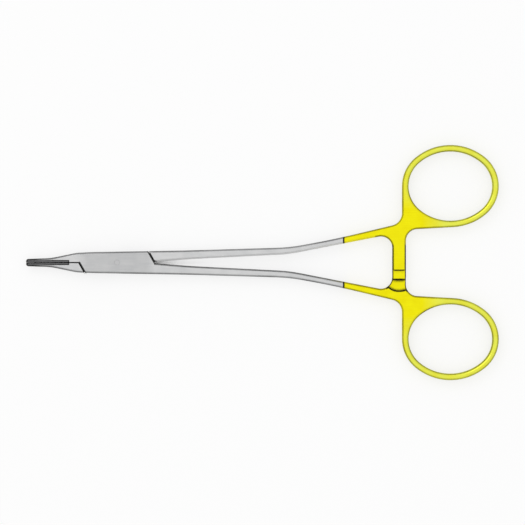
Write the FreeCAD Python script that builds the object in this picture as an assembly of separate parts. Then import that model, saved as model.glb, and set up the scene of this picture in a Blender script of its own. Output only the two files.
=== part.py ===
import FreeCAD, Part
import math
import os

# Surgical needle holder, 15 cm, with ring handles and a box lock, closed and lying flat.
# Millimetres. X runs along the holder: jaws at -X, finger rings at +X. Y runs across it.
# The lock pin stands on the Z axis and the lock box lies on z = 0.
# One half blank is drawn for the +Y side. Turned half a turn about the long axis,
# it is also the -Y side, so every mating feature is drawn once.

V = FreeCAD.Vector
UP = V(0, 0, 1)

# Jaw, from the pin to the tip. Half widths are measured from the parting plane.
jaw_reach = 28.9
tip_half_width = 1.15
tip_corner = 0.7
waist_x = -20.9
waist_half_width = 1.42
waist_bend = 20.0
jaw_root_x = -12.9
jaw_root_half_width = 3.08
jaw_root_bend = 12.0
jaw_face_clearance = 0.12

# Lock box
box_front_x = -8.0
box_half_width = 3.32
box_bend = 60.0
box_thickness = 4.8
shoulder_x = 11.85
shoulder_lean_deg = 29.5
shoulder_gap = 0.42

# Tongue of the inner half, and the window that it turns in
tongue_width = 3.0
tongue_thickness = 2.1
tongue_slant_deg = 8.0
tongue_reach = 13.0
window_clearance = 0.12
plate_clearance = 0.08
opening_angle_deg = 45.0

# Lock pin
pin_radius = 0.8
pin_running_clearance = 0.04
pin_recess = 0.02

# Shanks
neck_x = 22.0
neck_half_width = 3.83
neck_width = 2.77
neck_bend = 300.0
shank_gap_at_box = 0.2
bend_x = 54.6
bend_half_width = 4.8
bend_width = 2.12
bend_outer_radius = 55.0
bend_inner_radius = 45.0
splay_x = 67.7
splay_half_width = 7.11
splay_radius = 250.0
handle_thickness = 3.7

# Finger rings: oval openings with a slim band
ring_opening_length = 26.6
ring_opening_width = 22.0
ring_end_ease = 1.3
ring_band = 2.05
ring_setback = 0.95
ring_bottom_y = 11.25
ring_line_drop = 0.8

# Junction of shank, ring and ratchet arm
junction_outer_y = 12.56
junction_inner_y = 9.08
crotch_outer_radius = 4.0
crotch_inner_radius = 3.6
crotch_ring_radius = 3.7

# Ratchet arm: each is half as thick as the handle, and the two lie face to face
arm_x = 89.6
arm_width = 4.3
arm_overlap = 5.35
arm_tip_corner = 0.8
arm_face_clearance = 0.03
arm_root_cutter_radius = 5.2
arm_root_cutter_y = -4.1
arm_land_length = 3.17
arm_land_step = 0.45
arm_land_slope = 0.4
arm_tip_bevel = 0.3
tooth_count = 3
tooth_pitch = 1.6
tooth_height = 0.5
tooth_land = 0.2

# Jaw inserts with a cross-cut gripping face
insert_length = 13.7
insert_depth = 0.78
insert_face_clearance = 0.025
serration_pitch = 0.7
serration_depth = 0.19

# Broken outer edges, finger openings rounded off in three flats, and the jaw's thickness at its tip
edge_chamfer = 0.55
rim_chamfer = 0.585
rim_easing = 0.215
tip_thickness = 2.3

# How near two lengths must be to count as the same
same_length = 0.001
upright_limit = 0.01

tip_x = -jaw_reach
mid_z = box_thickness / 2
cut_low = -box_thickness
cut_high = 2 * box_thickness
ring_left_x = arm_x + ring_setback
ring_x = ring_left_x + ring_band + ring_opening_length / 2
ring_right_x = ring_x + ring_opening_length / 2 + ring_band
ring_y = ring_bottom_y + ring_band + ring_opening_width / 2
ring_outer_y = ring_y + ring_opening_width / 2 + ring_band
junction_ring_y = ring_bottom_y - ring_line_drop
arm_left_x = arm_x - arm_width / 2
arm_right_x = arm_x + arm_width / 2


def direction(angle_deg):
    return V(math.cos(math.radians(angle_deg)), math.sin(math.radians(angle_deg)), 0)


def corner_arc(before, corner, after, radius):
    """Start, middle and end of the arc that rounds a corner between two straight runs."""
    into = (before - corner).normalize()
    out = (after - corner).normalize()
    half_angle = into.getAngle(out) / 2
    reach = radius / math.tan(half_angle)
    middle = (into + out).normalize() * (radius / math.sin(half_angle) - radius)
    return corner + into * reach, corner + middle, corner + out * reach


def rounded_path(corners):
    """Edges of an open path through (x, y, radius) corners, joined by tangent arcs."""
    points = [V(x, y, 0) for x, y, radius in corners]
    edges = []
    pen = points[0]
    for i in range(1, len(corners) - 1):
        radius = corners[i][2]
        if radius:
            start, middle, end = corner_arc(points[i - 1], points[i], points[i + 1], radius)
            edges.append(Part.makeLine(pen, start))
            edges.append(Part.Arc(start, middle, end).toShape())
            pen = end
        else:
            edges.append(Part.makeLine(pen, points[i]))
            pen = points[i]
    edges.append(Part.makeLine(pen, points[-1]))
    return edges


def closed_face(edges):
    return Part.Face(Part.Wire(Part.__sortEdges__(edges)))


def prism(corners, low, high):
    """Upright prism on a plan polygon of (x, y) corners, between two heights."""
    outline = Part.makePolygon([V(x, y, low) for x, y in corners + corners[:1]])
    return Part.Face(outline).extrude(UP * (high - low))


def turned_over(shape):
    """The shape after half a turn about the long axis at mid-thickness."""
    return shape.rotated(V(0, 0, mid_z), V(1, 0, 0), 180)


def arc(centre, radius, start_deg, end_deg):
    middle_deg = (start_deg + end_deg) / 2
    points = [centre + direction(angle) * radius for angle in (start_deg, middle_deg, end_deg)]
    return Part.Arc(*points).toShape()


# The ring's oval is four tangent arcs: two short ones at its ends and two long ones at its sides.
ring_end_radius = ring_opening_width / 2 - ring_end_ease
end_centre_shift = ring_opening_length / 2 - ring_end_radius
side_reach_squared = end_centre_shift ** 2 + (ring_opening_width / 2) ** 2 - ring_end_radius ** 2
ring_side_radius = side_reach_squared / (2 * ring_end_ease)
side_centre_shift = ring_side_radius - ring_opening_width / 2
oval_join_deg = math.degrees(math.atan2(side_centre_shift, end_centre_shift))
left_centre = V(ring_x - end_centre_shift, ring_y, 0)
right_centre = V(ring_x + end_centre_shift, ring_y, 0)
top_side_centre = V(ring_x, ring_y - side_centre_shift, 0)
bottom_side_centre = V(ring_x, ring_y + side_centre_shift, 0)


def oval(band, bottom_end_deg):
    """The ring's arcs, clockwise from the left end to a point on the bottom side."""
    end = ring_end_radius + band
    side = ring_side_radius + band
    return [
        arc(left_centre, end, 180, 180 - oval_join_deg),
        arc(top_side_centre, side, 180 - oval_join_deg, oval_join_deg),
        arc(right_centre, end, oval_join_deg, -oval_join_deg),
        arc(bottom_side_centre, side, -oval_join_deg, bottom_end_deg),
    ]


def half_plan():
    """Plan of the +Y side: jaw, half of the box, shank, finger ring and ratchet arm."""
    # The ring's lower line leaves the arm and runs on at a tangent to the oval.
    junction = V(arm_right_x, junction_ring_y, 0) - bottom_side_centre
    radius = ring_side_radius + ring_band
    touch_deg = math.degrees(math.atan2(junction.y, junction.x) + math.acos(radius / junction.Length))
    touch = bottom_side_centre + direction(touch_deg) * radius

    outer = rounded_path([
        (tip_x, 0, 0),
        (tip_x, tip_half_width, tip_corner),
        (waist_x, waist_half_width, waist_bend),
        (jaw_root_x, jaw_root_half_width, jaw_root_bend),
        (box_front_x, box_half_width, box_bend),
        (neck_x, neck_half_width, neck_bend),
        (bend_x, bend_half_width, bend_outer_radius),
        (splay_x, splay_half_width, splay_radius),
        (ring_left_x, junction_outer_y, crotch_outer_radius),
        (ring_left_x, ring_y, 0),
    ])
    bow = oval(ring_band, touch_deg)
    inner = rounded_path([
        (touch.x, touch.y, 0),
        (arm_right_x, junction_ring_y, crotch_ring_radius),
        (arm_right_x, -arm_overlap, arm_tip_corner),
        (arm_left_x, -arm_overlap, arm_tip_corner),
        (arm_left_x, junction_inner_y, crotch_inner_radius),
        (bend_x, bend_half_width - bend_width, bend_inner_radius),
        (neck_x, neck_half_width - neck_width, neck_bend),
        (shoulder_x, shank_gap_at_box, 0),
        (shoulder_x, 0, 0),
        (tip_x, 0, 0),
    ])
    return closed_face(outer + bow + inner)


def side_profile():
    """Side view of the holder: thin jaw tip, full-thickness box, slimmer handle."""
    tip = tip_thickness / 2
    box = box_thickness / 2
    handle = handle_thickness / 2
    end_x = ring_right_x + edge_chamfer
    corners = [
        (tip_x, tip), (-shoulder_x, box), (shoulder_x, box), (neck_x, handle), (end_x, handle),
        (end_x, -handle), (neck_x, -handle), (shoulder_x, -box), (-shoulder_x, -box), (tip_x, -tip),
    ]
    outline = Part.makePolygon([V(x, 0, mid_z + z) for x, z in corners + corners[:1]])
    return Part.Face(outline)


def is_outer_edge(edge, solid):
    """True where a side wall away from the parting plane meets the top or the underside."""
    faces = solid.ancestorsOfType(edge, Part.Face)
    walls = [face for face in faces if abs(face.normalAt(0, 0).z) < upright_limit]
    if len(faces) != 2 or len(walls) != 1:
        return False
    box = walls[0].BoundBox
    on_parting = max(abs(box.YMin), abs(box.YMax)) < same_length
    in_shank_gap = abs(box.XMin - shoulder_x) + abs(box.XMax - shoulder_x) < same_length
    return not on_parting and not in_shank_gap


def is_rim_edge(edge, margin):
    """True on level edges no further than a margin outside the finger opening."""
    box = edge.BoundBox
    reach_x = ring_opening_length / 2 + margin + same_length
    reach_y = ring_opening_width / 2 + margin + same_length
    inside = abs(box.XMin - ring_x) < reach_x and abs(box.XMax - ring_x) < reach_x
    inside = inside and abs(box.YMin - ring_y) < reach_y and abs(box.YMax - ring_y) < reach_y
    return inside and box.ZLength < same_length


def half_blank():
    """The +Y side as one solid with broken edges, its finger ring open and its arm at full thickness."""
    reach_y = ring_outer_y + arm_overlap
    blank = half_plan().extrude(UP * box_thickness)
    side = side_profile().translated(V(0, reach_y, 0)).extrude(V(0, -2 * reach_y, 0))
    finger_hole = oval(0, oval_join_deg - 180) + [arc(left_centre, ring_end_radius, oval_join_deg - 180, -180)]
    blank = blank.common(side)
    outer_edges = [edge for edge in blank.Edges if is_outer_edge(edge, blank)]
    blank = blank.makeChamfer(edge_chamfer, outer_edges)
    blank = blank.cut(closed_face(finger_hole).extrude(UP * box_thickness))
    blank = blank.makeChamfer(rim_chamfer, [edge for edge in blank.Edges if is_rim_edge(edge, 0)])
    return blank.makeChamfer(rim_easing, [edge for edge in blank.Edges if is_rim_edge(edge, rim_chamfer)])


def ratchet_cuts():
    """What is cut from the arm: its lower half, the teeth, and the step on its tip."""
    face_z = mid_z + arm_face_clearance
    left = arm_x - arm_root_cutter_radius
    right = arm_x + arm_root_cutter_radius
    end_y = -arm_overlap - arm_width
    root_y = -arm_root_cutter_y
    cuts = [
        Part.makeCylinder(arm_root_cutter_radius, face_z - cut_low, V(arm_x, root_y, cut_low)),
        prism([(left, end_y), (right, end_y), (right, root_y), (left, root_y)], cut_low, face_z),
    ]

    first_tooth_y = -tooth_count * tooth_pitch / 2
    for i in range(tooth_count):
        y = first_tooth_y + i * tooth_pitch
        notch = Part.makePolygon([
            V(left, y, face_z),
            V(left, y, face_z + tooth_height),
            V(left, y + tooth_pitch - tooth_land, face_z),
            V(left, y, face_z),
        ])
        cuts.append(Part.Face(notch).extrude(V(right - left, 0, 0)))

    step_y = -arm_overlap + arm_land_length
    step_z = mid_z + handle_thickness / 2 - arm_land_step
    back_y = step_y + arm_width
    over = prism([(left, end_y), (right, end_y), (right, back_y), (left, back_y)], step_z, box_thickness)
    foot_y = step_y - arm_land_slope
    kept = closed_face(rounded_path([
        (arm_left_x, back_y, 0),
        (arm_left_x, foot_y, arm_tip_corner),
        (arm_right_x, foot_y, arm_tip_corner),
        (arm_right_x, back_y, 0),
        (arm_left_x, back_y, 0),
    ])).extrude(UP * arm_land_step).translated(UP * step_z)
    top_edges = [edge for edge in kept.Edges if edge.BoundBox.ZMin > step_z + same_length]
    sloped = [edge for edge in top_edges if edge.BoundBox.YMax < step_y + arm_tip_corner]
    cuts.append(over.cut(kept.makeChamfer(arm_land_slope, sloped)))

    tip_y = -arm_overlap
    bevel = Part.makePolygon([
        V(left, tip_y - arm_tip_bevel, step_z - 2 * arm_tip_bevel),
        V(left, tip_y + 2 * arm_tip_bevel, step_z + arm_tip_bevel),
        V(left, tip_y - arm_tip_bevel, step_z + arm_tip_bevel),
        V(left, tip_y - arm_tip_bevel, step_z - 2 * arm_tip_bevel),
    ])
    cuts.append(Part.Face(bevel).extrude(V(right - left, 0, 0)))
    return cuts


def behind_shoulder(gap):
    """Region behind the rear shoulder line of the box, moved back by a gap."""
    reach = ring_outer_y + arm_overlap
    slope = math.tan(math.radians(shoulder_lean_deg))
    start = shoulder_x + gap / math.cos(math.radians(shoulder_lean_deg))
    far = ring_right_x
    return prism([
        (start + reach * slope, -reach),
        (far + reach, -reach),
        (far + reach, reach),
        (start - reach * slope, reach),
    ], cut_low, cut_high)


def turned_about_pin(shape):
    return shape.rotated(V(0, 0, 0), UP, 180)


def window():
    """Space between the box's plates: all that the tongue sweeps from closed to open."""
    half_height = tongue_thickness / 2 + plate_clearance
    offset = tongue_width / 2 + window_clearance
    open_slant_deg = tongue_slant_deg + opening_angle_deg
    corner = direction((tongue_slant_deg + open_slant_deg) / 2 - 90)
    corner = corner * (offset / math.cos(math.radians(opening_angle_deg / 2)))
    reach = 2 * shoulder_x + tongue_width
    along_closed = direction(tongue_slant_deg) * reach
    along_open = direction(open_slant_deg) * -reach
    bridge_corners = [corner, corner + along_closed, corner + along_closed + along_open, corner + along_open]
    bridge = prism([(p.x, p.y) for p in bridge_corners], cut_low, cut_high)
    x = shoulder_x + tongue_width
    y = 2 * box_half_width
    space = prism([(-x, -y), (x, -y), (x, y), (-x, y)], mid_z - half_height, mid_z + half_height)
    return space.cut([bridge, turned_about_pin(bridge)])


def tongue(silhouette):
    """Thin bar through the box that joins the inner half's jaw to its shank."""
    x = tongue_reach
    y = tongue_width / 2
    low = mid_z - tongue_thickness / 2
    bar = prism([(-x, -y), (x, -y), (x, y), (-x, y)], low, low + tongue_thickness)
    return bar.rotated(V(0, 0, 0), UP, tongue_slant_deg).common(silhouette)


def insert_seat(face_y):
    """Block along the jaw's gripping side, from a face height to the bottom of the insert's seat."""
    front = tip_x - insert_depth
    back = tip_x + insert_length
    corners = [(front, face_y), (back, face_y), (back, insert_depth), (front, insert_depth)]
    return prism(corners, cut_low, cut_high)


def comb(slant_deg):
    """Block over the jaw insert with one family of V grooves cut across its gripping face."""
    reach = (insert_length + box_thickness) / math.sqrt(2)
    count = math.ceil(2 * reach / serration_pitch)
    first = -count * serration_pitch / 2
    face_y = insert_face_clearance
    points = [V(first, 2 * insert_depth, 0), V(first, face_y, 0)]
    for i in range(count):
        groove = first + (i + 0.5) * serration_pitch
        points.append(V(groove - serration_depth, face_y, 0))
        points.append(V(groove, face_y + serration_depth, 0))
        points.append(V(groove + serration_depth, face_y, 0))
    points += [V(-first, face_y, 0), V(-first, 2 * insert_depth, 0)]
    section = Part.Face(Part.makePolygon(points + points[:1])).translated(V(0, 0, -reach))
    block = section.extrude(UP * 2 * reach).rotated(V(0, 0, 0), V(0, 1, 0), slant_deg)
    return block.translated(V(tip_x + insert_length / 2, 0, mid_z))


def fused(shapes):
    return shapes[0].fuse(shapes[1:]).removeSplitter()


upper = half_blank()
jaw_insert = upper.common(insert_seat(insert_face_clearance)).common(comb(45)).common(comb(-45))
upper = upper.cut(ratchet_cuts() + [insert_seat(-insert_depth)])
lower = turned_over(upper)

parting = prism([
    (tip_x - insert_depth, -jaw_face_clearance),
    (-shoulder_x, -jaw_face_clearance),
    (-shoulder_x, jaw_face_clearance),
    (tip_x - insert_depth, jaw_face_clearance),
], cut_low, cut_high)
pin_hole = Part.makeCylinder(pin_radius, cut_high - cut_low, V(0, 0, cut_low))
tongue_hole = Part.makeCylinder(pin_radius + pin_running_clearance, cut_high - cut_low, V(0, 0, cut_low))

box_half = fused([
    upper.cut([behind_shoulder(0), parting]),
    lower.cut(turned_about_pin(behind_shoulder(0))),
]).cut([window(), pin_hole])

tongue_half = fused([
    upper.common(behind_shoulder(shoulder_gap)),
    lower.common(turned_about_pin(behind_shoulder(shoulder_gap))).cut(parting),
    tongue(upper.fuse(lower)),
]).cut(tongue_hole)

lock_pin = Part.makeCylinder(pin_radius, box_thickness - 2 * pin_recess, V(0, 0, pin_recess))

# Each row printed: name, solids, faces, volume in mm3, and whether the solid is sound
nodes = {
    "box_half": box_half,
    "tongue_half": tongue_half,
    "box_jaw_insert": jaw_insert,
    "tongue_jaw_insert": turned_over(jaw_insert),
    "lock_pin": lock_pin,
}
os.makedirs("parts", exist_ok=True)
for name, shape in nodes.items():
    shape.exportStep("parts/" + name + ".step")
    print(name, len(shape.Solids), len(shape.Faces), round(shape.Volume, 2), shape.isValid())
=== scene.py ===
import math

import bpy
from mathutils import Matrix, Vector

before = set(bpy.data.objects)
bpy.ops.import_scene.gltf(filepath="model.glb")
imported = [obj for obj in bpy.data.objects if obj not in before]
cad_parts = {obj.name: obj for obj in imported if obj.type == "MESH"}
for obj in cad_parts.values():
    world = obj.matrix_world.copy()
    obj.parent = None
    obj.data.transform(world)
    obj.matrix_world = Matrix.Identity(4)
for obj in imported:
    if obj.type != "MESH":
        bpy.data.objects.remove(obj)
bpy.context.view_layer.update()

# Lengths are in metres. Places are those of the closed holder: X runs back to the rings, Y across
# and Z up from the table, with the lock pin on the Z axis. A pair that ends in FADE is where a mask
# starts and ends its change. A noise is its features to the metre, its detail and any stretch.
# A surface is its grains to the metre, their depth and the radius that rounds its edges.

# The view of the photograph: straight down, the long axis level
VIEW_CENTRE = Vector((0.04620, 0.00003, 0.0024))
VIEW_WIDTH = 0.16690
CAMERA_HEIGHT = 1.40
SENSOR_WIDTH = 36.0
NEAR_CLIP = 0.01

# How softly masks end: fine lines, the edges of regions and broad regions
FINE = 0.00003
SOFT = 0.0001
BROAD = 0.0003

# Satin steel, a shade darker on the lock box, and brighter where edges are worn
STEEL = (0.66, 0.66, 0.66)
STEEL_DARK = (0.575, 0.58, 0.585)
STEEL_BRIGHT = (0.76, 0.76, 0.76)
BOX_STEEL = (0.565, 0.565, 0.565)
BOX_STEEL_DARK = (0.495, 0.50, 0.505)
BOX_FRONT_FADE = (-0.0128, -0.0096)
BOX_BACK_FADE = (0.0092, 0.0120)
STEEL_WEAR = 0.5
WEAR_RADIUS = 0.00020
WEAR_FADE = (0.86, 0.99)
WEAR_PATCHES = (900.0, 3.0)
WEAR_PATCHES_FADE = (0.35, 0.6)

# The grain and the gloss of the metals
STEEL_SURFACE = (9000.0, 0.000012, 0.00022)
CLOUDS = (260.0, 4.0)
BRUSH_MARKS = (5200.0, 3.0, (0.03, 1.0, 1.0))
MARKS_FADE = (0.3, 0.7)
BLEND_FADE = (0.75, 1.25)
GRAIN_DETAIL = 2.0
GRAIN_STRENGTH = 0.35
ROUNDING_SAMPLES = 6
MASK_SAMPLES = 8
STEEL_ROUGHNESS = (0.30, 0.42)
CLOUD_ROUGHNESS = (-0.03, 0.04)
WORN_SMOOTHER = 0.08

# Yellow plating on the handles, with a painted highlight that turns the rings paler away from the
# foot of each ring
GOLD = (0.91, 0.845, 0.008)
GOLD_DARK = (0.85, 0.755, 0.006)
GOLD_BRIGHT = (0.93, 0.90, 0.10)
GOLD_WEAR = 0.6
SHEEN_GOLD = (0.82, 0.86, 0.105)
SHEEN_GOLD_DARK = (0.77, 0.78, 0.075)
PLATING_X = 0.0720
PLATING_EDGE = 0.00026
PLATING_LINE_FADE = (0.6 * PLATING_EDGE, 1.4 * PLATING_EDGE)
PLATING_WAVES = (500.0, 3.0)
PLATING_WANDER = 0.00012
RING_FOOT = (0.0925, 0.0125)
SHEEN_FADE = (0.0045, 0.0110)
SHEEN_X_FADE = (0.0895, 0.0925)
SHEEN_Y_FADE = (0.0095, 0.0115)
SHEEN_CLOUDS_FADE = (0.3, 0.6)
SHEEN_LEAST = 0.7

# Painted shade, a near-black laid in gaps and beside joints; the same near-black marks the
# plating's edge
LINE = (0.012, 0.012, 0.010)
SHADE_LINE_STRENGTH = 0.92
OPEN_SKY_FADE = (0.60, 0.88)
CREVICE_REACH = 0.0012

# Painted shade along a broken edge, a dark outline set by the upward part of its direction, which
# is measured over a wide radius for this shade and over a narrower one for the other masks
EDGE_SHADE_STEEL = (0.040, 0.040, 0.042)
EDGE_SHADE_GOLD = (0.115, 0.095, 0.008)
EDGE_SHADE_CURVE = (
    (0.0, 0.0), (0.12, 0.3), (0.30, 1.0), (0.63, 1.0),
    (0.72, 0.48), (0.80, 0.12), (0.90, 0.03), (1.0, 0.0),
)
EDGE_SHADE_RADIUS = 0.00050
DIRECTION_RADIUS = 0.00030
EDGE_SHADE_PATCHES = (140.0, 2.0)
EDGE_SHADE_PATCHES_FADE = (0.35, 0.62)
EDGE_SHADE_LEAST = 0.62
EDGE_SHADE_UNDER_SHEEN = 0.75
FACING_UP = 0.30
FACING_SOFT = 0.06
SLOPE_END = 0.82

# The pin's head is ground flush, so the painted edge shade round the rim of its bore is faint
PIN_FADE = (0.00115, 0.00150)
FLUSH_EDGE_SHADE = 0.15

# The ratchet arms, where painted shade darkens the slopes and the sides' upper edges
ARM_X = 0.0896
ARM_SIDE = (0.0018, 0.00225)
ARM_MIDDLE_FADE = (0.00145, 0.0016)
ARMS_REACH = 0.0057

# Painted shade at the root of the lower arm, between two fillets (x, y, radius) in the box half's
# outline
ROOT_X = (0.0855, 0.0930)
ROOT_Y = (-0.0093, -0.0054)
ROOT_Z = (0.0013, 0.0030)
ROOT_SLOPE_END = 0.93
ROOT_SLOPE_SOFT = 0.03
ROOT_FILLETS = ((0.08385, -0.004711, 0.0036), (0.09545, -0.006947, 0.0037))
ROOT_LINE = 0.00030
ROOT_LINE_SOFT = 0.00004
ROOT_REACH = 0.0100
ROOT_SHADE = 0.07

# Painted shade on the flats at the jaws' tip, beside the parting line and at the box's shoulders
TIP_FADE = (-0.0262, -0.0185)
PARTING_X = (-0.0154, -0.01185)
PARTING_REACH = 0.00021
SHOULDER_X = 0.01185
SHOULDER_LEAN = math.radians(29.5)
SHOULDER_REACH = 0.00027
SHOULDER_FADE = (-0.00035, -0.0002)

# The wedge between the shanks, where gaps get less painted shade, and the middle of the tongue
# half's shank as (x, y) points. Its inner edge gets a painted highlight, brighter than other edges.
WEDGE_X = (0.0123, 0.0820)
WEDGE_OPENER = 0.15
SHANK_MIDDLE = (
    (0.0119, 0.0018), (0.0220, 0.00245), (0.0546, 0.00374), (0.0677, 0.00600), (0.0900, 0.01050),
)
INNER_HIGHLIGHT_STEEL = (0.80, 0.80, 0.80)
INNER_HIGHLIGHT_GOLD = (0.93, 0.87, 0.05)
INNER_HIGHLIGHT_ROUGHER = 0.45
INNER_TOP_FADE = (0.70, 0.97)
INNER_WALL_FADE = (0.28, 0.42)

# Tungsten carbide inserts, brazed into seats in the jaws
CARBIDE = (0.20, 0.20, 0.205)
CARBIDE_DARK = (0.12, 0.12, 0.125)
CARBIDE_BRIGHT = (0.3, 0.3, 0.31)
CARBIDE_SURFACE = (14000.0, 0.00001, 0.00005)
CARBIDE_WEAR = 0.4
CARBIDE_WEAR_RADIUS = 0.00008
CARBIDE_WEAR_FADE = (0.85, 0.99)
CARBIDE_EDGE_RADIUS = 0.00020
CARBIDE_ROUGHNESS = (0.34, 0.5)
# Painted shade round the seat, along the gripping face and at the tip
CARBIDE_SHADE_STRENGTH = 0.93
SPECKS = (6000.0, 4.0)
SPECKS_FADE = (0.35, 0.65)
SEAT_Y_FADE = (0.00046, 0.00058)
SEAT_X_FADE = (-0.0245, -0.0205)
SEAT_LEAST = 0.35
SEAT_BACK_FADE = (-0.0155, -0.0154)
GRIP_FADE = (0.00018, 0.00026)
GRIP_TIP_FADE = (-0.0260, -0.0200)
GRIP_TIP_WIDER = 0.00009
GRIP_TOP_FADE = (0.20, 0.34)
NOSE_FADE = (-0.0285, -0.0283)

# The pin, in the box's steel
PIN_BRIGHT = (0.3, 0.3, 0.3)
PIN_SURFACE = (9000.0, 0.00001, 0.0001)
PIN_MARKS_FADE = (0.35, 0.65)
PIN_WEAR = 0.2
PIN_WEAR_RADIUS = 0.0001
PIN_WEAR_FADE = (0.8, 0.98)
PIN_ROUGHNESS = (0.28, 0.4)

# White paper. It glows less where little sky reaches it, and not at all in deep shade under the
# jaws' slit and the shoulders' ends.
PAPER_WHITE = (0.97, 0.97, 0.97)
PAPER_ROUGHNESS = 0.9
PAPER_SHINE = 0.1
PAPER_SIZE = 6.0
PAPER_PLACE = (0.05, 0, -0.00005)
FLOOR_GLOW = 0.74
GLOW_REACH = 0.004
SHADE_FADE = (0.04, 0.20)
DEEP_SHADE_FADE = (0.45, 0.75)
SLIT_Y_FADE = (0.0005, 0.0007)
SLIT_X_FADE = (-0.0118, -0.0114)
SHOULDER_END = (0.0102, 0.0031)
SHOULDER_END_FADE = (0.0004, 0.0007)

# A tent of light: bright overhead, darker towards the horizon
SKY_LOW = (0.50, 0.50, 0.50)
SKY_HIGH = (0.98, 0.98, 0.98)
SKY_FADE = (0.02, 0.75)
LAMP_PLACE = (-0.35, 0.55, 0.8)
LAMP_TARGET = (0.05, 0, 0)
LAMP_SIZE = 0.5
LAMP_POWER = 1.0


def node(tree, kind, **values):
    made = tree.nodes.new(kind)
    for key, value in values.items():
        setattr(made, key, value)
    return made


def math_node(tree, operation, *values):
    """The values taken by one operation. Each is a socket or a number."""
    made = node(tree, "ShaderNodeMath", operation=operation)
    for slot, value in zip(made.inputs, values):
        if isinstance(value, (int, float)):
            slot.default_value = value
        else:
            tree.links.new(value, slot)
    return made.outputs[0]


def times(tree, *values):
    product = values[0]
    for value in values[1:]:
        product = math_node(tree, "MULTIPLY", product, value)
    return product


def largest(tree, *values):
    top = values[0]
    for value in values[1:]:
        top = math_node(tree, "MAXIMUM", top, value)
    return top


def plus(tree, a, b):
    return math_node(tree, "ADD", a, b)


def minus(tree, a, b):
    return math_node(tree, "SUBTRACT", a, b)


def size_of(tree, value):
    return math_node(tree, "ABSOLUTE", value)


def rising(tree, value, fade, bottom=0.0, top=1.0):
    """From one level to a higher one over a fade, and level outside it."""
    made = node(tree, "ShaderNodeMapRange", clamp=True)
    tree.links.new(value, made.inputs["Value"])
    numbers = zip(("From Min", "From Max", "To Min", "To Max"), (*fade, bottom, top))
    for key, number in numbers:
        made.inputs[key].default_value = number
    return made.outputs["Result"]


def falling(tree, value, fade, bottom=0.0, top=1.0):
    return rising(tree, value, fade, top, bottom)


def around(edge, soft):
    return (edge - soft, edge + soft)


def band(tree, value, ends, soft):
    """1 between two values and 0 outside them."""
    up = rising(tree, value, around(ends[0], soft))
    down = falling(tree, value, around(ends[1], soft))
    return times(tree, up, down)


def mix(tree, factor, a, b):
    """Colour a where factor is 0 and b where it is 1. Each is a socket or a colour."""
    made = node(tree, "ShaderNodeMix", data_type="RGBA")
    tree.links.new(factor, made.inputs["Factor"])
    for key, value in ((6, a), (7, b)):
        if isinstance(value, tuple):
            made.inputs[key].default_value = (*value, 1.0)
        else:
            tree.links.new(value, made.inputs[key])
    return made.outputs[2]


def noise(tree, vector, scale, detail, stretch=(1, 1, 1)):
    """Noise with features of 1/scale metres, drawn out along an axis by a stretch under 1."""
    scaled = node(tree, "ShaderNodeMapping")
    scaled.inputs["Scale"].default_value = [scale * s for s in stretch]
    tree.links.new(vector, scaled.inputs["Vector"])
    made = node(tree, "ShaderNodeTexNoise")
    made.inputs["Scale"].default_value = 1.0
    made.inputs["Detail"].default_value = detail
    tree.links.new(scaled.outputs[0], made.inputs["Vector"])
    return made.outputs["Fac"]


def rounded_normal(tree, radius, samples):
    bevel = node(tree, "ShaderNodeBevel", samples=samples)
    bevel.inputs["Radius"].default_value = radius
    return bevel.outputs[0]


def edge_mask(tree, radius, fade):
    """1 along edges of the metal and 0 away from them."""
    dot = node(tree, "ShaderNodeVectorMath", operation="DOT_PRODUCT")
    tree.links.new(rounded_normal(tree, radius, MASK_SAMPLES), dot.inputs[0])
    tree.links.new(node(tree, "ShaderNodeNewGeometry").outputs["Normal"], dot.inputs[1])
    return falling(tree, dot.outputs["Value"], fade)


def edge_rise(tree, radius):
    """The upward part of the direction of a rounded edge: 1 on flats and 0 on side walls."""
    axes = node(tree, "ShaderNodeSeparateXYZ")
    tree.links.new(rounded_normal(tree, radius, MASK_SAMPLES), axes.inputs[0])
    return size_of(tree, axes.outputs["Z"])


def curve(tree, value, points):
    """A level between 0 and 1 for a value between 0 and 1, by straight runs through points."""
    ramp = node(tree, "ShaderNodeValToRGB")
    tree.links.new(value, ramp.inputs[0])
    stops = ramp.color_ramp.elements
    for i, (position, level) in enumerate(points):
        stop = stops[i] if i < 2 else stops.new(position)
        stop.position = position
        stop.color = (level, level, level, 1)
    return ramp.outputs[0]


def below_path(tree, place, points, soft):
    """1 on the -Y side of a path of (x, y) points and 0 beyond it."""
    first, last = points[0][0], points[-1][0]
    lowest = min(y for x, y in points)
    highest = max(y for x, y in points)
    shares = [((x - first) / (last - first), (y - lowest) / (highest - lowest)) for x, y in points]
    share = curve(tree, rising(tree, place.x, (first, last)), shares)
    middle = rising(tree, share, (0.0, 1.0), lowest, highest)
    return rising(tree, minus(tree, middle, place.y), around(0.0, soft))


def plan_distance(tree, x, y, centre):
    """Distance in plan from a point."""
    off_x = minus(tree, x, centre[0])
    off_y = minus(tree, y, centre[1])
    return math_node(tree, "SQRT", plus(tree, times(tree, off_x, off_x), times(tree, off_y, off_y)))


def sky_share(tree, distance):
    """1 in the open and 0 in narrow gaps."""
    occlusion = node(tree, "ShaderNodeAmbientOcclusion", samples=MASK_SAMPLES)
    occlusion.inputs["Distance"].default_value = distance
    return occlusion.outputs["AO"]


class Place:
    """Where a point lies on the closed holder, as sockets."""

    def __init__(self, tree):
        self.vector = node(tree, "ShaderNodeTexCoord").outputs["Object"]
        axes = node(tree, "ShaderNodeSeparateXYZ")
        tree.links.new(self.vector, axes.inputs[0])
        self.x, self.y, self.z = axes.outputs
        self.across = size_of(tree, self.y)


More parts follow.
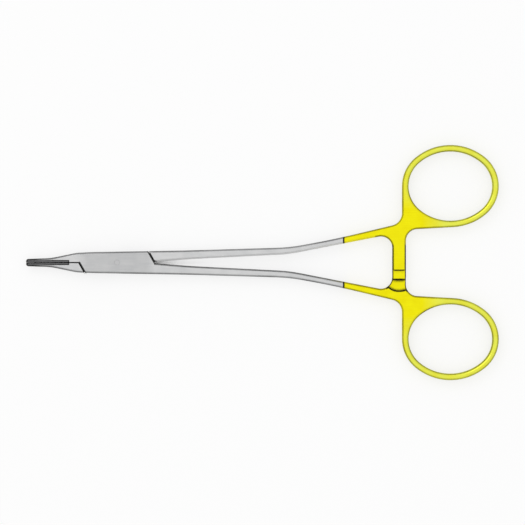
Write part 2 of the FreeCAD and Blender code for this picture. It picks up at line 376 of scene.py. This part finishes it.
def metal_surface(name, grains, depth, rounding):
    """A metal with a rounded, grained surface and an open colour and roughness."""
    made = bpy.data.materials.new(name)
    made.use_nodes = True
    tree = made.node_tree
    shader = tree.nodes["Principled BSDF"]
    shader.inputs["Metallic"].default_value = 1.0
    place = Place(tree)
    bump = node(tree, "ShaderNodeBump")
    bump.inputs["Strength"].default_value = GRAIN_STRENGTH
    bump.inputs["Distance"].default_value = depth
    tree.links.new(noise(tree, place.vector, grains, GRAIN_DETAIL), bump.inputs["Height"])
    tree.links.new(rounded_normal(tree, rounding, ROUNDING_SAMPLES), bump.inputs["Normal"])
    tree.links.new(bump.outputs[0], shader.inputs["Normal"])
    return made, tree, shader, place


def arm_painted_shade(tree, place, rise, wide_rise, up):
    """Painted shade on the ratchet arms, and round the root of the lower one."""
    off_arm = size_of(tree, minus(tree, place.x, ARM_X))
    slopes = band(tree, rise, (FACING_UP, SLOPE_END), FACING_SOFT)
    slopes = times(tree, slopes, falling(tree, off_arm, ARM_MIDDLE_FADE))
    sides = times(tree, band(tree, off_arm, ARM_SIDE, FINE), up)
    on_arms = falling(tree, place.across, around(ARMS_REACH, BROAD))
    painted_shade = times(tree, largest(tree, slopes, sides), on_arms)

    root = times(
        tree,
        band(tree, place.x, ROOT_X, SOFT),
        band(tree, place.y, ROOT_Y, SOFT),
        rising(tree, place.z, (ROOT_Z[0], ROOT_Z[0] + SOFT)),
    )
    root_slopes = band(tree, wide_rise, (FACING_UP, ROOT_SLOPE_END), ROOT_SLOPE_SOFT)
    painted_shade = largest(tree, painted_shade, times(tree, root, root_slopes))

    root_flat = times(tree, root, falling(tree, place.z, (ROOT_Z[1], ROOT_Z[1] + SOFT)), up)
    for centre_x, centre_y, radius in ROOT_FILLETS:
        off_centre = plan_distance(tree, place.x, place.y, (centre_x, centre_y))
        rim = falling(tree, off_centre, around(radius + ROOT_LINE, ROOT_LINE_SOFT))
        painted_shade = largest(tree, painted_shade, times(tree, root_flat, rim))
    return painted_shade


def joint_painted_shade(tree, place):
    """Painted shade at the jaws' tip, beside their parting line and at the box's shoulders."""
    parting = times(
        tree,
        band(tree, place.x, PARTING_X, FINE),
        falling(tree, place.across, around(PARTING_REACH, FINE)),
    )
    painted_shade = largest(tree, parting, falling(tree, place.x, TIP_FADE))
    for sign in (1, -1):
        along = times(tree, place.x, sign * math.cos(SHOULDER_LEAN))
        over = times(tree, place.y, sign * math.sin(SHOULDER_LEAN))
        past = minus(tree, plus(tree, along, over), SHOULDER_X * math.cos(SHOULDER_LEAN))
        shoulder = band(tree, past, (-SHOULDER_REACH, 0.0), FINE)
        own_side = rising(tree, times(tree, place.y, sign), SHOULDER_FADE)
        painted_shade = largest(tree, painted_shade, times(tree, shoulder, own_side))
    return painted_shade


def instrument_steel(name, box_colours, bright_inner_edge):
    """Satin steel with a darker lock box, yellow plating on the handles, painted shade and
    highlights.
    """
    made, tree, shader, place = metal_surface(name, *STEEL_SURFACE)
    clouds = noise(tree, place.vector, *CLOUDS)
    marks = noise(tree, place.vector, *BRUSH_MARKS)
    blend = rising(tree, plus(tree, clouds, marks), BLEND_FADE)
    wear_patches = rising(tree, noise(tree, place.vector, *WEAR_PATCHES), WEAR_PATCHES_FADE)
    wear = times(tree, edge_mask(tree, WEAR_RADIUS, WEAR_FADE), wear_patches)

    # The bare steel
    on_box = times(
        tree, rising(tree, place.x, BOX_FRONT_FADE), falling(tree, place.x, BOX_BACK_FADE))
    steel = mix(tree, on_box, mix(tree, blend, STEEL_DARK, STEEL), mix(tree, blend, *box_colours))
    steel = mix(tree, times(tree, wear, STEEL_WEAR), steel, STEEL_BRIGHT)

    # The plating, with its painted paler highlight on the rings
    off_foot = plan_distance(tree, place.x, place.across, RING_FOOT)
    sheen_mask = times(
        tree,
        rising(tree, off_foot, SHEEN_FADE),
        rising(tree, place.x, SHEEN_X_FADE),
        rising(tree, place.across, SHEEN_Y_FADE),
    )
    sheen_patches = rising(tree, clouds, SHEEN_CLOUDS_FADE, SHEEN_LEAST, 1.0)
    gold = mix(tree, blend, GOLD_DARK, GOLD)
    pale_gold = mix(tree, blend, SHEEN_GOLD_DARK, SHEEN_GOLD)
    gold = mix(tree, times(tree, sheen_mask, sheen_patches), gold, pale_gold)
    gold = mix(tree, times(tree, wear, GOLD_WEAR), gold, GOLD_BRIGHT)

    # Painted shade along the broken edges, a dark outline
    wide_rise = edge_rise(tree, EDGE_SHADE_RADIUS)
    rise = edge_rise(tree, DIRECTION_RADIUS)
    edge_shade = times(
        tree,
        curve(tree, wide_rise, EDGE_SHADE_CURVE),
        rising(tree, noise(tree, place.vector, *EDGE_SHADE_PATCHES),
               EDGE_SHADE_PATCHES_FADE, EDGE_SHADE_LEAST, 1.0),
        falling(tree, sheen_mask, (0.0, 1.0), EDGE_SHADE_UNDER_SHEEN, 1.0),
        rising(tree, plan_distance(tree, place.x, place.y, (0.0, 0.0)),
               PIN_FADE, FLUSH_EDGE_SHADE, 1.0),
    )
    in_wedge = band(tree, place.x, WEDGE_X, BROAD)
    # Painted highlight on the inner edge of the tongue half's shank, which drops the painted edge
    # shade
    if bright_inner_edge:
        inner_side = times(tree, below_path(tree, place, SHANK_MIDDLE, SOFT), in_wedge)
        inner_highlight = times(
            tree,
            inner_side,
            falling(tree, rise, INNER_TOP_FADE),
            rising(tree, rise, INNER_WALL_FADE),
        )
        steel = mix(tree, inner_highlight, steel, INNER_HIGHLIGHT_STEEL)
        gold = mix(tree, inner_highlight, gold, INNER_HIGHLIGHT_GOLD)
        edge_shade = times(tree, edge_shade, falling(tree, inner_side, (0.0, 1.0)))
    steel = mix(tree, edge_shade, steel, EDGE_SHADE_STEEL)
    gold = mix(tree, edge_shade, gold, EDGE_SHADE_GOLD)

    # Where the plating starts, with a dark line at its edge
    waves = noise(tree, place.vector, *PLATING_WAVES)
    wander = rising(tree, waves, (0.0, 1.0), -PLATING_WANDER, PLATING_WANDER)
    plating_x = plus(tree, place.x, wander)
    plated = rising(tree, plating_x, around(PLATING_X, PLATING_EDGE / 4))
    off_line = size_of(tree, minus(tree, plating_x, PLATING_X))
    metal = mix(tree, plated, steel, gold)
    metal = mix(tree, rising(tree, off_line, PLATING_LINE_FADE), LINE, metal)

    # Painted shade on flats and slopes, and in the gaps where little sky reaches
    up = rising(tree, rise, around(FACING_UP, FACING_SOFT))
    painted_shade = largest(
        tree,
        arm_painted_shade(tree, place, rise, wide_rise, up),
        times(tree, up, joint_painted_shade(tree, place)),
    )
    metal = mix(tree, times(tree, painted_shade, SHADE_LINE_STRENGTH), metal, LINE)
    on_root = times(
        tree,
        band(tree, place.x, ROOT_X, SOFT),
        falling(tree, place.across, around(ROOT_REACH, BROAD)),
    )
    sky = minus(tree, sky_share(tree, CREVICE_REACH), times(tree, on_root, ROOT_SHADE))
    sky = plus(tree, sky, times(tree, in_wedge, WEDGE_OPENER))
    metal = mix(tree, rising(tree, sky, OPEN_SKY_FADE), LINE, metal)
    tree.links.new(metal, shader.inputs["Base Color"])

    rough = plus(
        tree,
        rising(tree, marks, MARKS_FADE, *STEEL_ROUGHNESS),
        rising(tree, clouds, MARKS_FADE, *CLOUD_ROUGHNESS),
    )
    rough = minus(tree, rough, times(tree, wear, WORN_SMOOTHER))
    if bright_inner_edge:
        rough = plus(tree, rough, times(tree, inner_highlight, INNER_HIGHLIGHT_ROUGHER))
    tree.links.new(rough, shader.inputs["Roughness"])
    return made


def carbide(name):
    """Dark, speckled carbide, with painted shade round its seat, along the gripping face and at the
    tip.
    """
    made, tree, shader, place = metal_surface(name, *CARBIDE_SURFACE)
    specks = noise(tree, place.vector, *SPECKS)
    colour = mix(tree, rising(tree, specks, SPECKS_FADE), CARBIDE_DARK, CARBIDE)
    wear = edge_mask(tree, CARBIDE_WEAR_RADIUS, CARBIDE_WEAR_FADE)
    colour = mix(tree, times(tree, wear, CARBIDE_WEAR), colour, CARBIDE_BRIGHT)

    rise = edge_rise(tree, CARBIDE_EDGE_RADIUS)
    # Painted shade round the seat, along the gripping face, on the tip's edges and at the nose
    seat = times(
        tree,
        rising(tree, place.across, SEAT_Y_FADE),
        rising(tree, place.x, SEAT_X_FADE, SEAT_LEAST, 1.0),
    )
    wider = falling(tree, place.x, GRIP_TIP_FADE, 0.0, GRIP_TIP_WIDER)
    gripping = times(
        tree,
        falling(tree, minus(tree, place.across, wider), GRIP_FADE),
        rising(tree, rise, GRIP_TOP_FADE),
    )
    tip_edges = times(tree, curve(tree, rise, EDGE_SHADE_CURVE), falling(tree, place.x, TIP_FADE))
    painted_shade = largest(
        tree,
        seat,
        rising(tree, place.x, SEAT_BACK_FADE),
        gripping,
        tip_edges,
        falling(tree, place.x, NOSE_FADE),
    )
    colour = mix(tree, times(tree, painted_shade, CARBIDE_SHADE_STRENGTH), colour, LINE)
    tree.links.new(colour, shader.inputs["Base Color"])
    rough = rising(tree, specks, MARKS_FADE, *CARBIDE_ROUGHNESS)
    tree.links.new(rough, shader.inputs["Roughness"])
    return made


def pin_steel(name):
    """The box's steel, with its brush marks, for the pin ground flush with it."""
    made, tree, shader, place = metal_surface(name, *PIN_SURFACE)
    marks = noise(tree, place.vector, *BRUSH_MARKS)
    colour = mix(tree, rising(tree, marks, PIN_MARKS_FADE), BOX_STEEL_DARK, BOX_STEEL)
    wear = edge_mask(tree, PIN_WEAR_RADIUS, PIN_WEAR_FADE)
    colour = mix(tree, times(tree, wear, PIN_WEAR), colour, PIN_BRIGHT)
    tree.links.new(colour, shader.inputs["Base Color"])
    rough = rising(tree, marks, MARKS_FADE, *PIN_ROUGHNESS)
    tree.links.new(rough, shader.inputs["Roughness"])
    return made


def glow_share(tree):
    """How much of the paper's own white is seen at a point of the floor."""
    sky = sky_share(tree, GLOW_REACH)
    position = node(tree, "ShaderNodeNewGeometry").outputs["Position"]
    axes = node(tree, "ShaderNodeSeparateXYZ")
    tree.links.new(position, axes.inputs[0])
    clear = largest(
        tree,
        rising(tree, size_of(tree, axes.outputs["Y"]), SLIT_Y_FADE),
        rising(tree, axes.outputs["X"], SLIT_X_FADE),
    )
    for sign in (1, -1):
        gap = node(tree, "ShaderNodeVectorMath", operation="DISTANCE")
        gap.inputs[1].default_value = (sign * SHOULDER_END[0], sign * SHOULDER_END[1], 0)
        tree.links.new(position, gap.inputs[0])
        off_end = rising(tree, gap.outputs["Value"], SHOULDER_END_FADE)
        clear = math_node(tree, "MINIMUM", clear, off_end)
    clear = largest(tree, clear, rising(tree, sky, DEEP_SHADE_FADE))
    rays = node(tree, "ShaderNodeLightPath").outputs
    seen = largest(
        tree, rays["Is Camera Ray"], rays["Is Glossy Ray"], rays["Is Transmission Ray"])
    return times(tree, seen, clear, rising(tree, sky, SHADE_FADE), FLOOR_GLOW)


def white_paper(name):
    """White paper that keeps most of its brightness under the holder."""
    made = bpy.data.materials.new(name)
    made.use_nodes = True
    tree = made.node_tree
    shader = tree.nodes["Principled BSDF"]
    shader.inputs["Roughness"].default_value = PAPER_ROUGHNESS
    shader.inputs["Specular IOR Level"].default_value = PAPER_SHINE
    shader.inputs["Base Color"].default_value = (*PAPER_WHITE, 1)
    glow = node(tree, "ShaderNodeEmission")
    glow.inputs["Color"].default_value = (1, 1, 1, 1)
    both = node(tree, "ShaderNodeMixShader")
    tree.links.new(glow_share(tree), both.inputs[0])
    tree.links.new(shader.outputs[0], both.inputs[1])
    tree.links.new(glow.outputs[0], both.inputs[2])
    tree.links.new(both.outputs[0], tree.nodes["Material Output"].inputs["Surface"])
    return made


def tent(name):
    """A world of plain light that is darker towards the horizon."""
    made = bpy.data.worlds.new(name)
    made.use_nodes = True
    tree = made.node_tree
    backdrop = tree.nodes["Background"]
    backdrop.inputs["Strength"].default_value = 1.0
    direction = node(tree, "ShaderNodeSeparateXYZ")
    tree.links.new(node(tree, "ShaderNodeTexCoord").outputs["Generated"], direction.inputs[0])
    shade = mix(tree, rising(tree, direction.outputs["Z"], SKY_FADE), SKY_LOW, SKY_HIGH)
    tree.links.new(shade, backdrop.inputs["Color"])
    return made


def place_object(name, data, location):
    made = bpy.data.objects.new(name, data)
    bpy.context.scene.collection.objects.link(made)
    made.location = location
    return made


looks = {
    "box_half": instrument_steel("box_half_metal", (BOX_STEEL_DARK, BOX_STEEL), False),
    "tongue_half": instrument_steel("tongue_half_metal", (STEEL_DARK, STEEL), True),
    "box_jaw_insert": carbide("box_insert_metal"),
    "tongue_jaw_insert": carbide("tongue_insert_metal"),
    "lock_pin": pin_steel("pin_metal"),
}
for name, material in looks.items():
    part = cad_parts[name]
    part.data.materials.clear()
    part.data.materials.append(material)

bpy.ops.mesh.primitive_plane_add(size=PAPER_SIZE, location=PAPER_PLACE)
floor = bpy.context.object
floor.name = "floor"
floor.data.materials.append(white_paper("floor_paper"))

bpy.context.scene.world = tent("tent")

lamp = bpy.data.lights.new("overhead", "AREA")
lamp.energy = LAMP_POWER
lamp.size = LAMP_SIZE
lamp_object = place_object("overhead", lamp, LAMP_PLACE)
aim = Vector(LAMP_TARGET) - lamp_object.location
lamp_object.rotation_euler = aim.to_track_quat("-Z", "Y").to_euler()

camera = bpy.data.cameras.new("camera")
camera.sensor_width = SENSOR_WIDTH
camera.lens = SENSOR_WIDTH * (CAMERA_HEIGHT - VIEW_CENTRE.z) / VIEW_WIDTH
camera.clip_start = NEAR_CLIP
camera_place = (VIEW_CENTRE.x, VIEW_CENTRE.y, CAMERA_HEIGHT)
bpy.context.scene.camera = place_object("camera", camera, camera_place)
bpy.context.scene.view_settings.view_transform = "Standard"
